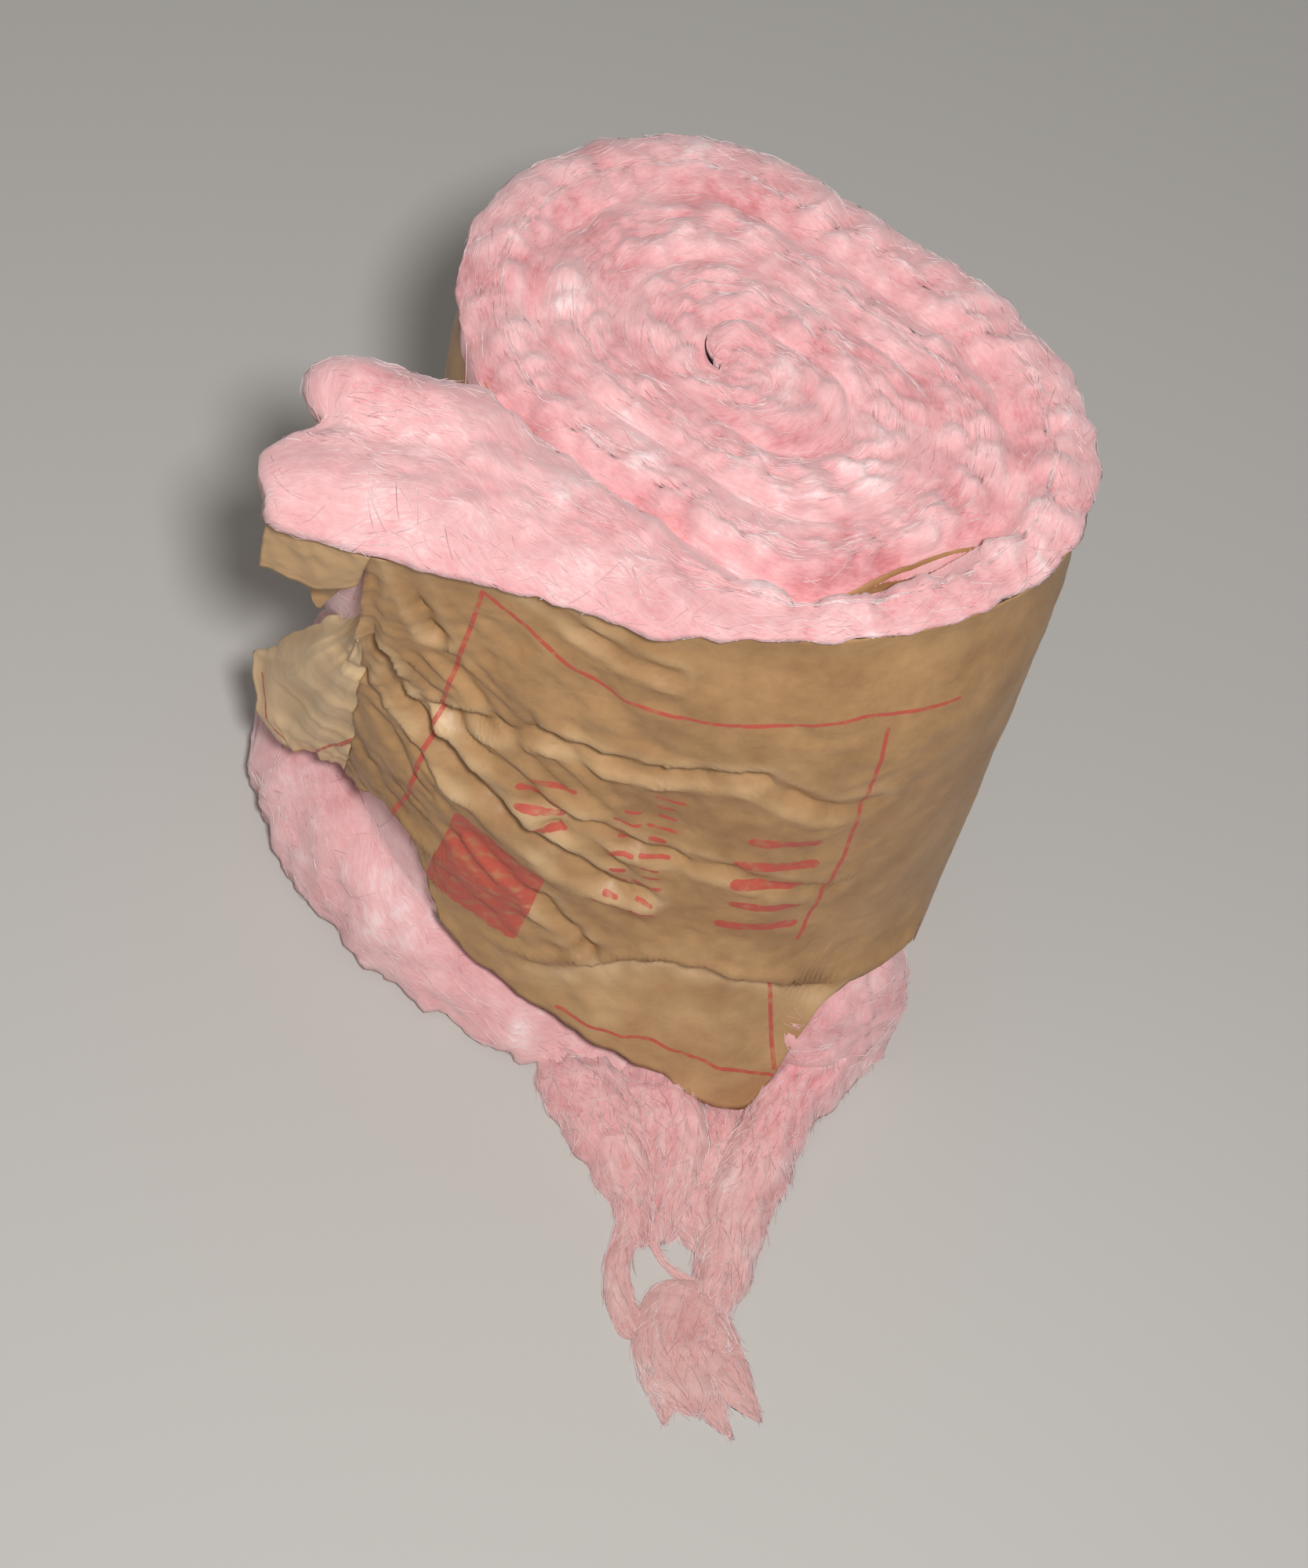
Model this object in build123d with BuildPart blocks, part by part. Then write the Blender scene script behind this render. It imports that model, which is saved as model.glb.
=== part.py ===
from build123d import *
import os

# Kraft-faced glass wool batt, rolled up and stood on its end. Millimetres, +Z up.
# The origin is on the floor, midway between the two ends of the oval coil.

# The batt
batt_width = 381.0
free_thickness = 89.0
facing_thickness = 0.6

# The coil: eight half turns, each a little wider than the last
eye_radius = 16.0
eye_offset = 10.6
first_step = 12.3
step_growth = 0.44
half_turn_count = 8
oval_spread = 43.0
round_turns = 4
lay_angle = -24.0

# The groove between the turns at the head, and the facing's edge that stands in it
groove_depth = 7.0
groove_width = 3.0
seam_edge_depth = 3.0
notch_sweep = 24.0

# The slack gap beside the outer turn, at the head: where it starts and ends about the coil's right end
slack_start = -52.0
slack_sweep = 50.0
slack_width = 12.0
slack_depth = 46.0

# The free end: straight at the head, curled round the coil at the foot
free_length = 202.0
free_bend_start = -15.0
foot_wrap = 26.0
foot_turn = 195.0
head_bulge = 27.0
foot_bulge = 6.5
torn_flats = [(0, 0), (0.2, 0.8), (0.7, 1), (1, 0)]
wool_overlap = 35.0

# The facing's edges: a rim below the head, a hem that climbs to both sides of a low corner
rim_inset = 5.0
back_hem = 8.0
left_hem = 105.0
front_hem = 12.0
corner_hem = 2.0
side_hem = 90.0
left_hem_start = -75.0
front_hem_start = 10.0
corner_hem_start = 60.0
corner_hem_end = 97.0
corner_run = 7.0
side_hem_run = 90.0

# The wool pushed out below the hem of the free end: where it starts and its root in plan, its reach from
# the coil's left end at some angles, and how that shrinks with the share of its height
skirt_start = (-30.0, 8.0)
skirt_route = [(244, 66), (220, 74), (201, 97), (190, 101)]
skirt_end = (178, 31)
skirt_profile = [(0, 1), (0.5, 0.86), (1, 0.4)]

# The foot of the facing, swelled out over the torn wool: its height, and its reach from the right end
flare_height = 112.0
flare_start = 65.0
flare_route = [(266, 17), (280, 20), (294, 15), (308, 0)]
flare_inset = 0.5

# The torn wool on the floor in front: a row of arcs, each point by its angle about the coil's right end and
# its reach from the face
tail_thickness = 16.0
tail_outline = [
    (238, 30), (258, 42), (268, 96), (271, 142), (273, 168), (279, 180), (285, 164),
    (284, 130), (288, 90), (301, 34), (342, 6),
]
tuft_angle = 309.0
tuft_radius = 32.0
tuft_height = 54.0
tuft_slope = 14.0

# Far enough to pass right through the roll
far = 10000.0

roll_plane = Plane.XY.rotated((0, 0, lay_angle))
outer_left = half_turn_count - 2
outer_right = half_turn_count - 1


def turn_radius(turn):
    """Radius of a half turn, counted from the eye."""
    return eye_radius + first_step * turn + step_growth * turn**2


def turn_centre(turn):
    """Centre of a half turn: even ones bend round the left end, odd ones round the right."""
    y = eye_offset
    for inner in range(turn):
        step = turn_radius(inner + 1) - turn_radius(inner)
        y += step if inner % 2 else -step
    side = 1 if turn % 2 else -1
    reach = oval_spread * min(1, (turn + 2) / (round_turns + 2))
    return Vector(side * reach, y)


def draw_seam(first, last, last_sweep=180):
    """Draws the seam from one half turn to another, with the straights that join the arcs."""
    arc = None
    for turn in range(first, last + 1):
        start_angle = 90 if turn % 2 else -90
        sweep = last_sweep if turn == last else 180
        following = CenterArc(turn_centre(turn), turn_radius(turn), start_angle, -sweep)
        if arc:
            Line(arc @ 1, following @ 0)
        arc = following
    return arc


left_radius = turn_radius(outer_left)
right_radius = turn_radius(outer_right)
left_centre = roll_plane.from_local_coords(turn_centre(outer_left))
right_centre = roll_plane.from_local_coords(turn_centre(outer_right))
left_arc_start = turn_centre(outer_left) - Vector(0, left_radius)
slack_centre = turn_centre(outer_left - 1)
slack_radius = turn_radius(outer_left - 1)


def draw_inner_seam():
    """Draws the seam from the eye to where the outer turn first shows, at the notch."""
    inner_arc = draw_seam(0, outer_left - 1)
    Line(inner_arc @ 1, left_arc_start)


def beside_left(angle, gap):
    """A point beside the coil's left end, at an angle from +X and a distance from its face."""
    return left_centre + Vector(left_radius + gap, 0).rotate(Axis.Z, angle)


def beside_right(angle, gap):
    """A point beside the coil's right end, at an angle from +X and a distance from its face."""
    return right_centre + Vector(right_radius + gap, 0).rotate(Axis.Z, angle)


# The outer turn leaves the coil where it runs along -X
leaving_sweep = 180 + lay_angle
leaving = beside_right(270, 0)

# The free end in plan: straight from where it leaves the coil, then straight on at the head
# and bent round the coil at the foot
bend_start = Vector(free_bend_start, leaving.Y)
head_corner = leaving - Vector(free_length, 0)
head_inner_corner = head_corner + Vector(0, free_thickness)
foot_corner = beside_left(foot_turn, foot_wrap)
foot_inner_corner = beside_left(180, -wool_overlap / 3)
foot_bend = foot_corner - bend_start
bend_radius = foot_bend.length**2 / (2 * foot_bend.Y)
bend_centre = bend_start + Vector(0, bend_radius)
bend_sweep = (foot_corner - bend_centre).get_angle(Vector(0, -1))
anchor = beside_left(270 + lay_angle - notch_sweep, -wool_overlap)
root = leaving + Vector(0, right_radius * 0.7)


def draw_outer_turn():
    """Draws the outer turn from the notch round the back and right, and straight to the bend."""
    arc = draw_seam(outer_left, outer_right, leaving_sweep)
    return Line(arc @ 1, roll_plane.to_local_coords(bend_start))


def draw_torn_end(corner, inner_corner, bulge):
    """Draws the torn end in flats from corner to corner, and the free end's root in the coil."""
    across = inner_corner - corner
    outward = across.rotate(Axis.Z, 90).normalized() * bulge
    Polyline(*[corner + across * share + outward * rise for share, rise in torn_flats])
    Polyline(inner_corner, anchor, bend_start)


def draw_skirt(spread):
    """Draws the skirt's outline at a share of its reach: its outer edge, and its root in the free end."""
    edge = Spline(
        leaving + Vector(*skirt_start),
        *[beside_left(angle, reach * spread) for angle, reach in skirt_route],
    )
    Polyline(edge @ 1, beside_left(*skirt_end), anchor, root, edge @ 0)


def draw_flare(spread):
    """Draws the swelled foot of the facing, at a share of its reach."""
    return Polyline(
        leaving + Vector(-flare_start, flare_inset),
        *[beside_right(angle, reach * spread - flare_inset) for angle, reach in flare_route],
    )


# The space below the facing's hem
with BuildPart() as below_hem:
    with BuildSketch(Plane.XZ):
        with BuildLine():
            Polyline(
                (-far, 0),
                (-far, left_hem),
                (left_hem_start, left_hem),
                (front_hem_start, front_hem),
                (corner_hem_start, corner_hem),
                (corner_hem_end, corner_hem),
                (corner_hem_end + corner_run, side_hem),
                (far, side_hem),
                (far, 0),
                close=True,
            )
        make_face()
    extrude(amount=far)
    with BuildSketch(Plane.YZ.offset(corner_hem_end)):
        with BuildLine():
            Polyline((0, 0), (0, side_hem), (side_hem_run, 0), close=True)
        make_face()
    extrude(amount=free_length)

# The wool behind the facing's swelled foot
with BuildPart() as flare:
    for level, spread in ((0, 1), (flare_height, 0)):
        with BuildSketch(Plane.XY.offset(level)):
            with BuildLine():
                edge = draw_flare(spread)
                Polyline(edge @ 1, right_centre, edge @ 0)
            make_face()
    loft(ruled=True)

# The kraft facing, bonded to the outer face of the wool from the eye to the free end
with BuildPart() as kraft_facing:
    with BuildSketch(roll_plane.offset(back_hem)):
        with BuildLine():
            draw_outer_turn()
        trace(line_width=facing_thickness)
    extrude(amount=batt_width - back_hem)
    with BuildSketch(Plane.XY):
        with BuildLine():
            CenterArc(bend_centre, bend_radius, 270, -bend_sweep)
        trace(line_width=facing_thickness)
    with BuildSketch(Plane.XY.offset(batt_width)):
        with BuildLine():
            Line(bend_start, head_corner)
        trace(line_width=facing_thickness)
    loft(ruled=True)
    add(flare, mode=Mode.SUBTRACT)
    for level, spread in ((0, 1), (flare_height, 0)):
        with BuildSketch(Plane.XY.offset(level)):
            with BuildLine():
                draw_flare(spread)
            trace(line_width=facing_thickness)
    loft(ruled=True)
    add(below_hem, mode=Mode.SUBTRACT)
    split(bisect_by=Plane.XY.offset(batt_width - rim_inset), keep=Keep.BOTTOM)
    with BuildSketch(roll_plane.offset(batt_width - groove_depth)):
        with BuildLine():
            draw_inner_seam()
        trace(line_width=facing_thickness)
    extrude(amount=groove_depth - seam_edge_depth)
kraft_facing.part.label = "kraft_facing"

# The slack gap where the outer turn stands off the coil
with BuildPart() as slack_gap:
    with BuildSketch(roll_plane.offset(batt_width)):
        with BuildLine():
            coil_side = CenterArc(slack_centre, slack_radius, slack_start, slack_sweep)
            middle = slack_centre + Vector(slack_radius + slack_width, 0).rotate(Axis.Z, slack_start + slack_sweep / 2)
            ThreePointArc(coil_side @ 0, middle, coil_side @ 1)
        make_face()
    extrude(amount=-slack_depth)

# The coil's whole body, up to where the free end leaves it
with BuildPart() as coil:
    with BuildSketch(roll_plane):
        with BuildLine():
            outer_turn = draw_outer_turn()
            Line(outer_turn @ 1, left_arc_start)
        make_face()
    extrude(amount=batt_width)

# The wool blanket: the coil, its free end and the skirt under the hem, with the grooves between its turns
with BuildPart() as wool_blanket:
    for share, spread in skirt_profile:
        with BuildSketch(Plane.XY.offset(left_hem * share)):
            with BuildLine():
                draw_skirt(spread)
            make_face()
    loft(ruled=True)
    add(below_hem, mode=Mode.INTERSECT)
    add(coil)
    add(flare)
    with BuildSketch(Plane.XY):
        with BuildLine():
            CenterArc(bend_centre, bend_radius, 270, -bend_sweep)
            draw_torn_end(foot_corner, foot_inner_corner, foot_bulge)
        make_face()
    with BuildSketch(Plane.XY.offset(batt_width)):
        with BuildLine():
            Line(bend_start, head_corner)
            draw_torn_end(head_corner, head_inner_corner, head_bulge)
        make_face()
    loft(ruled=True)
    add(kraft_facing, mode=Mode.SUBTRACT)
    with BuildSketch(roll_plane.offset(batt_width)):
        with BuildLine():
            draw_seam(0, outer_left, notch_sweep)
        trace(line_width=groove_width)
    extrude(amount=-groove_depth, mode=Mode.SUBTRACT)
    add(slack_gap, mode=Mode.SUBTRACT)
wool_blanket.part.label = "wool_blanket"

# The wool torn from the foot of the roll, spread on the floor in front
with BuildPart() as torn_wool:
    with BuildSketch():
        with BuildLine():
            points = [beside_right(angle, reach) for angle, reach in tail_outline]
            for first in range(0, len(points) - 2, 2):
                ThreePointArc(*points[first : first + 3])
            last_angle = tail_outline[-1][0]
            against_coil = CenterArc(right_centre, right_radius, last_angle, 270 - last_angle)
            Line(points[-1], against_coil @ 0)
            Polyline(against_coil @ 1, Vector(points[0].X, leaving.Y), points[0])
        make_face()
    extrude(amount=tail_thickness)
    with BuildSketch():
        with Locations(beside_right(tuft_angle, 0)):
            Circle(tuft_radius)
    extrude(amount=tuft_height, taper=tuft_slope)
    add(coil, mode=Mode.SUBTRACT)
    add(wool_blanket, mode=Mode.SUBTRACT)
    add(kraft_facing, mode=Mode.SUBTRACT)
torn_wool.part.label = "torn_wool"

os.makedirs("parts", exist_ok=True)
for piece in (wool_blanket, kraft_facing, torn_wool):
    export_step(piece.part, f"parts/{piece.part.label}.step")
    print(piece.part.label, len(piece.part.solids()), piece.part.is_valid, round(piece.part.volume))
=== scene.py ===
import math
import bpy
import numpy as np
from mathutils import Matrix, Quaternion, Vector


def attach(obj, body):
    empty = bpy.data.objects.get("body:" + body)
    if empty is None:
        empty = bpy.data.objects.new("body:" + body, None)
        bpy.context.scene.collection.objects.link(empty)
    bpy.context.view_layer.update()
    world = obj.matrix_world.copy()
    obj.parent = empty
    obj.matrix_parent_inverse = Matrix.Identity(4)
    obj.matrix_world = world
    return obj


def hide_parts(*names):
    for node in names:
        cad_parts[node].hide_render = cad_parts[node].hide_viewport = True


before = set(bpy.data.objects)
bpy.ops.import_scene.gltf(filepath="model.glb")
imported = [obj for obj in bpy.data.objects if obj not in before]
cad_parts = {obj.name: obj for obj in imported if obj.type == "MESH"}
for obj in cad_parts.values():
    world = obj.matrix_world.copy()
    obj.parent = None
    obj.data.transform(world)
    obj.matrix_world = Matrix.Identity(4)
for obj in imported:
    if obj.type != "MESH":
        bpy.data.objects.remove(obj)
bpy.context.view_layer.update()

# The view: a camera held about 1.6 m above the floor in front of the roll, looking steeply down and
# turned a little on its axis. Its lens is set by the width of the 1668 by 2000 picture.
camera = bpy.data.objects.new("camera", bpy.data.cameras.new("camera"))
camera.data.sensor_fit = "HORIZONTAL"
camera.data.sensor_width = 36
camera.data.lens = 96.3
camera_place = Vector((-0.025, -1.038, 1.600))
camera_aim = Vector((0.004, -0.077, 0.150))
camera_roll = Quaternion((0, 0, 1), math.radians(15.5))
camera.location = camera_place
camera.rotation_mode = "QUATERNION"
camera.rotation_quaternion = (camera_aim - camera_place).to_track_quat("-Z", "Y") @ camera_roll
bpy.context.scene.collection.objects.link(camera)
bpy.context.scene.camera = camera
bpy.context.scene.view_settings.view_transform = "Standard"

# The light: a lamp close beside the camera on its right, a weak one from the left, and a pale room.
lamp_aim = Vector((0, 0, 0.15))
for name, place, size, power in (
    ("key_lamp", (0.12, -1.08, 1.85), 0.20, 31),
    ("fill_lamp", (-1.5, -0.7, 2.3), 1.6, 3),
):
    lamp = bpy.data.objects.new(name, bpy.data.lights.new(name, "AREA"))
    lamp.data.shape = "DISK"
    lamp.data.size = size
    lamp.data.energy = power
    lamp.location = place
    lamp.rotation_euler = (lamp_aim - Vector(place)).to_track_quat("-Z", "Y").to_euler()
    bpy.context.scene.collection.objects.link(lamp)


def add_node(tree, kind, inputs=(), **settings):
    """Node of a kind, with its settings, and pairs of an input and its value or the output that feeds it."""
    made = tree.nodes.new("ShaderNode" + kind)
    for setting, value in settings.items():
        setattr(made, setting, value)
    for socket, value in inputs:
        if isinstance(value, bpy.types.NodeSocket):
            tree.links.new(value, made.inputs[socket])
        else:
            made.inputs[socket].default_value = value
    return made


room = bpy.data.worlds.new("room")
room.use_nodes = True
tree = room.node_tree
light = tree.nodes["Background"]
light.inputs["Color"].default_value = (1, 0.99, 0.97, 1)
light.inputs["Strength"].default_value = 0.19
backdrop = add_node(tree, "Background", [("Color", (0.86, 0.86, 0.85, 1))])
ray = add_node(tree, "LightPath")
looked_at = ray.outputs["Is Camera Ray"]
for kind in ("Is Glossy Ray", "Is Transmission Ray"):
    either = [(0, looked_at), (1, ray.outputs[kind])]
    looked_at = add_node(tree, "Math", either, operation="MAXIMUM").outputs[0]
seen = add_node(tree, "MixShader", [("Fac", looked_at), (1, light.outputs[0]), (2, backdrop.outputs[0])])
tree.links.new(seen.outputs["Shader"], tree.nodes["World Output"].inputs["Surface"])
bpy.context.scene.world = room


def new_finish(name, constants):
    """Material with a Principled shader, whose constant inputs are given as pairs of name and value."""
    finish = bpy.data.materials.new(name)
    finish.use_nodes = True
    shader = finish.node_tree.nodes["Principled BSDF"]
    for socket, value in constants:
        shader.inputs[socket].default_value = value
    return finish, finish.node_tree, shader


# The floor: plain, grey and matt, far larger than the view.
floor_half = 6
floor_mesh = bpy.data.meshes.new("floor")
floor_corners = [(x * floor_half, y * floor_half, 0) for x, y in ((-1, -1), (1, -1), (1, 1), (-1, 1))]
floor_mesh.from_pydata(floor_corners, [], [(0, 1, 2, 3)])
floor = bpy.data.objects.new("floor", floor_mesh)
bpy.context.scene.collection.objects.link(floor)
floor_paint = new_finish("grey_floor", [("Base Color", (0.55, 0.53, 0.50, 1)), ("Roughness", 0.9)])[0]
floor_mesh.materials.append(floor_paint)

# The wool blanket: one long batt of pink glass wool, 381 mm wide, rolled from the eye outwards and
# stood on its end. Fibres lie in layers along it, so its cut edge shows streaks that follow the turns.
height = 0.381
eye_radius, first_step, step_growth = 0.016, 0.0123, 0.00044
eye_offset, oval_spread, round_turns = 0.0106, 0.043, 4
lay = math.radians(-24)
arc_share = 0.72
last_turn = 7
leaving_phase = last_turn + arc_share * (math.pi + lay) / math.pi
notch_phase = last_turn - 1 + arc_share * math.radians(24) / math.pi


def turn_radius(turn):
    """Radius of a half turn: a square law of its number, counted from the eye."""
    return eye_radius + first_step * turn + step_growth * turn**2


def turn_centres():
    """Centre of each half turn: left and right in turn, stepping aside by the growth of the radius."""
    y, centres = eye_offset, []
    for turn in range(last_turn + 2):
        reach = oval_spread * min(1, (turn + 2) / (round_turns + 2))
        centres.append((reach if turn % 2 else -reach, y))
        step = turn_radius(turn + 1) - turn_radius(turn)
        y += step if turn % 2 else -step
    return np.array(centres)


def seam(phase):
    """Point of the spiral seam. A phase's whole part counts half turns, and its fraction is the share of
    that half turn: first round its arc, then along the straight to the next. The oval is laid at an angle."""
    centres = turn_centres()
    phase = np.maximum(np.asarray(phase, float), 0)
    turn = np.minimum(phase.astype(int), last_turn)
    share = phase - turn
    centre, following = centres[turn], centres[turn + 1]
    radius, next_radius = turn_radius(turn), turn_radius(turn + 1)
    angle = np.where(turn % 2, 0.5, -0.5) * math.pi - math.pi * np.minimum(share / arc_share, 1)
    arc = centre + radius[..., None] * np.stack([np.cos(angle), np.sin(angle)], -1)
    side = np.where(turn % 2, -1.0, 1.0)
    arc_end = centre + np.stack([0 * radius, side * radius], -1)
    arc_start = following + np.stack([0 * radius, side * next_radius], -1)
    along = np.clip((share - arc_share) / (1 - arc_share), 0, 1)[..., None]
    point = np.where((share < arc_share)[..., None], arc, arc_end + (arc_start - arc_end) * along)
    cos, sin = math.cos(lay), math.sin(lay)
    return point @ np.array([[cos, sin], [-sin, cos]])


# The free end is straight at the head, where it stands off the coil, and bends round it at the foot.
leaving = seam(leaving_phase)
free_length, free_thickness, bend_start = 0.202, 0.089, -0.015
left_centre = seam(6.0) + (seam(6.0 + arc_share) - seam(6.0)) / 2
left_radius = turn_radius(6)


def beside_left(angle, gap):
    """Point beside the coil's left end, at an angle from +X in degrees and a distance from its face."""
    angle = np.radians(angle)
    return left_centre + (left_radius + gap) * np.stack([np.cos(angle), np.sin(angle)], -1)


foot_corner = beside_left(195.0, 0.026)
foot_bend = foot_corner - (bend_start, leaving[1])
bend_radius = (foot_bend @ foot_bend) / (2 * foot_bend[1])
bend_centre = np.array([bend_start, leaving[1] + bend_radius])
bend_sweep = math.atan2(bend_centre[0] - foot_corner[0], bend_centre[1] - foot_corner[1])
straight_share = (leaving[0] - bend_start) / free_length


def free_face(share, level):
    """Point of the free end's outer face, by the share of its length and of the height. The foot's line runs
    straight and then round one arc, the head's runs straight on, and a straight line joins the two."""
    share, level = np.broadcast_arrays(np.asarray(share, float), np.asarray(level, float))
    straight = leaving - np.stack([free_length * share, 0 * share], -1)
    turn = -math.pi / 2 - bend_sweep * np.clip((share - straight_share) / (1 - straight_share), 0, 1)
    bent = bend_centre + bend_radius * np.stack([np.cos(turn), np.sin(turn)], -1)
    foot = np.where((share < straight_share)[..., None], straight, bent)
    return foot + (straight - foot) * level[..., None]


def free_back(share, level):
    """Point of the free end's inner face: it follows the coil's skin as far as the notch, and from there
    runs straight to its corner, which at the foot stays beside the coil."""
    share, level = np.broadcast_arrays(np.asarray(share, float), np.asarray(level, float))
    skin_end = 0.72
    skin_start = leaving_phase - 2
    skin = seam(skin_start + (notch_phase - skin_start) * np.minimum(share / skin_end, 1))
    beyond = np.clip((share - skin_end) / (1 - skin_end), 0, 1)[..., None]
    head_corner = leaving + (-free_length - 0.004, free_thickness + 0.014)
    head = skin + (head_corner - skin) * beyond
    wrapped = beside_left(222 - 40 * beyond[..., 0], 0.001)
    foot = np.where(beyond > 0, wrapped, skin)
    return foot + (head - foot) * level[..., None]


def lattice_noise(points, seed):
    """Smooth noise from about -1 to 1: each corner of the unit cell round a point holds a random slope from a
    shuffled table, and the eight values blend by a quintic ease."""
    draw = np.random.default_rng(seed)
    table = draw.permutation(512)
    slopes = draw.normal(size=(512, 3))
    slopes /= np.linalg.norm(slopes, axis=1)[:, None]
    cell = np.floor(points).astype(int)
    part = points - cell
    ease = part**3 * (part * (part * 6 - 15) + 10)
    total = np.zeros(points.shape[:-1])
    for corner in np.ndindex(2, 2, 2):
        key = cell + corner
        index = 0
        for axis in range(3):
            index = table[(index + key[..., axis]) & 511]
        weight = np.where(corner, ease, 1 - ease).prod(-1)
        total += weight * (slopes[index] * (part - corner)).sum(-1)
    return total * 1.7


def layered_noise(points, seed, octaves=3, gain=0.55):
    """Sum of lattice noises, each at twice the frequency of the last and a little over half its strength."""
    total, strength = 0, 1
    for octave in range(octaves):
        total = total + strength * lattice_noise(points * 2.0**octave + 17.3 * octave, seed + octave)
        strength *= gain
    return total


def noise_at(x, y, z, seed, octaves=3, gain=0.55):
    """Layered noise at coordinates given as arrays or plain numbers, spread over each other's shapes."""
    return layered_noise(np.stack(np.broadcast_arrays(x, y, z), -1), seed, octaves, gain)


# Stations along the blanket, about 2.4 mm apart: from the eye to where the outer turn leaves the coil,
# along the free end, and round its torn end.
station_step = 0.0024
fine = np.linspace(0.02, leaving_phase, 6000)
middle = (seam(fine) + seam(fine - 2)) / 2
travelled = np.concatenate([[0], np.cumsum(np.linalg.norm(np.diff(middle, axis=0), axis=1))])
coil_phase = np.interp(np.arange(0, travelled[-1], station_step), travelled, fine)
free_share = np.linspace(0, 1, 93)[1:]
torn_turn = math.radians(89.6) * np.sin(np.linspace(0, math.pi / 2, 17)[1:]) ** 0.9
count_coil, count_free, count_torn = len(coil_phase), len(free_share), len(torn_turn)
stations = count_coil + count_free + count_torn
share = np.concatenate([np.zeros(count_coil), free_share, np.ones(count_torn)])
phase = np.concatenate([coil_phase, leaving_phase + share[count_coil:] * 0.5])
torn = np.concatenate([np.zeros(count_coil + count_free), torn_turn])
run = np.concatenate([
    np.interp(coil_phase, fine, travelled),
    travelled[-1] + free_length * free_share,
    travelled[-1] + free_length + 0.035 * np.sin(torn_turn),
])
past_leaving = run - travelled[-1]

# Round each station the skin is one loop: inner corner, top, outer corner, outer wall, floor, inner wall.
corner_steps, top_steps, wall_steps, floor_steps, back_steps = 9, 28, 26, 3, 9
rim_columns = 2 * corner_steps + top_steps - 1
on_coil = np.arange(stations) < count_coil
shown_seam = np.clip((phase - notch_phase) / 0.25, 0, 1)


def valley(seam_phase):
    """Depth of the soft valley between two turns at a phase of the seam: shallow and uneven, with places
    where the turns close up, and deeper towards the notch."""
    depth = 0.0036 * np.interp(seam_phase, [0, 1, 4, 5.2, 6.1], [0.3, 0.5, 0.8, 1.6, 3.2])
    x, y = (seam(seam_phase) / 0.045).T
    return depth * np.clip(1 + 1.1 * noise_at(x, y, 0, 5, 2), 0.2, 1.9)


rim = np.interp(past_leaving, [-0.20, -0.15], [0.3695, 0.3765])
outer_depth = np.where(phase < 6.1, valley(phase), np.interp(phase, [6.1, 6.5], [0.0134, 0.0125]))
outer_depth = np.where(phase < 6.5, outer_depth, height - rim + 0.001)
inner_depth = valley(phase - 2)
thickness = np.where(
    on_coil,
    np.linalg.norm(seam(phase) - seam(phase - 2), axis=1),
    np.linalg.norm(free_face(share, 1.0) - free_back(share, 1.0), axis=1),
)
outer_round = np.interp(
    phase, [0, 1, 5, 6.1, 6.4, 7.9, 8.1], [0.005, 0.008, 0.012, 0.012, 0.014, 0.018, 0.036]
)
outer_round = np.minimum(outer_round, thickness * 0.45)
inner_round = np.interp(phase, [0, 1, 5, 7.8, 8.1], [0.005, 0.008, 0.012, 0.016, 0.026])
inner_round = np.minimum(inner_round, thickness * 0.45)
outer_soft, inner_soft = 1 - shown_seam, 1 - np.clip(share / 0.6, 0, 1)
overhang = (0.0078 + 0.0030 * noise_at(run / 0.022, 0, 0, 7)) * shown_seam
overhang = overhang + 0.005 * np.clip(share / 0.3, 0, 1)
# At the head the front of the roll leans in, most just right of where the free end leaves the coil.
lean = np.interp(
    past_leaving,
    [-0.19, -0.145, -0.107, -0.056, -0.007, 0.019, 0.045, 0.10, 0.15, 0.202],
    [0.000, 0.006, 0.014, 0.019, 0.014, 0.007, 0.002, 0.006, 0.004, 0.001],
)


def leaning(amount, rise):
    """Inward shift of the outer face, growing from 90 mm below the head by a smooth step."""
    share = np.clip((rise - (height - 0.09)) / 0.085, 0, 1)
    return amount * share**2 * (3 - 2 * share)


hem = np.interp(
    past_leaving,
    [-0.62, -0.30, -0.175, -0.165, -0.155, -0.13, -0.10, -0.075, -0.05, -0.02, 0.0, 0.055, 0.09, 0.14, 0.235],
    [0.006, 0.012, 0.030, 0.015, 0.053, 0.078, 0.078, 0.066, 0.014, 0.010, 0.012, 0.028, 0.045, 0.062, 0.070],
)
wall_low = hem + 0.012


def corner_drop(angle, soft):
    """Share of a corner's depth at an angle: a rounded edge, or a soft valley level at both its ends."""
    rounded, eased = 1 - math.cos(angle), 0.5 - 0.5 * math.cos(math.pi * math.sin(angle))
    return rounded + (eased - rounded) * soft


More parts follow.
